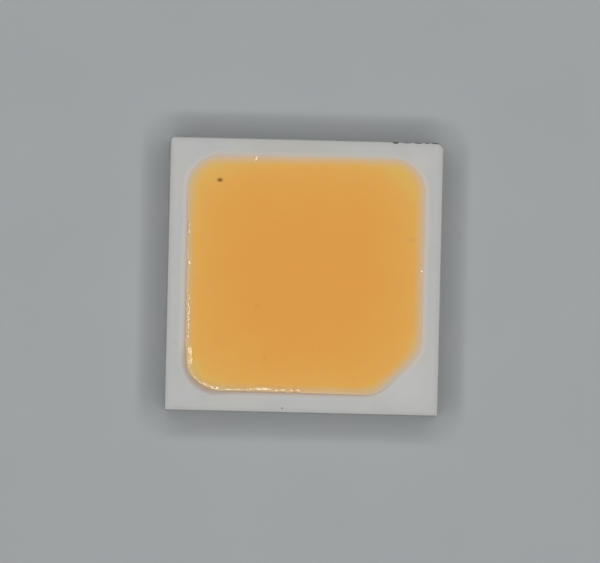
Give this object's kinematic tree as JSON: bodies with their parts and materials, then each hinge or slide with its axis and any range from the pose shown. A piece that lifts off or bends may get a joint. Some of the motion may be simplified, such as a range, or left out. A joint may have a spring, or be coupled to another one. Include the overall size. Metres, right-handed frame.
{
  "type": "surface-mount led",
  "caption": "Square white-framed surface-mount LED with crowned phosphor silicone in a cavity, a cut corner as its cathode mark, and solder pads on the underside.",
  "frame": {"origin": "centre of the underside, on the plane of the solder pads", "axes": "+Z out of the light-emitting face, +X towards the cathode side, the cathode mark at the +X, -Y corner"},
  "size_m": [0.003, 0.003, 0.0005],
  "materials": {
    "moulding": "white filled epoxy, matt, sawn sides",
    "plated_copper": "satin silver plate, bare copper where sawn",
    "clear_glue": "clear, glossy",
    "sapphire": "clear, polished",
    "gold": "bright drawn wire",
    "phosphor_silicone": "smooth, satin, amber from its phosphor, paler along the edge"
  },
  "bodies": {
    "root": {"housing": "moulding", "cathode_lead": "plated_copper", "anode_lead": "plated_copper", "die_attach_a": "clear_glue", "die_attach_b": "clear_glue", "led_chip_a": "sapphire", "led_chip_b": "sapphire", "bond_bump": "gold", "wire_chip_a_to_anode": "gold", "wire_chip_a_to_chip_b": "gold", "wire_chip_b_to_cathode": "gold", "encapsulant": "phosphor_silicone"}
  },
  "joints": []
}
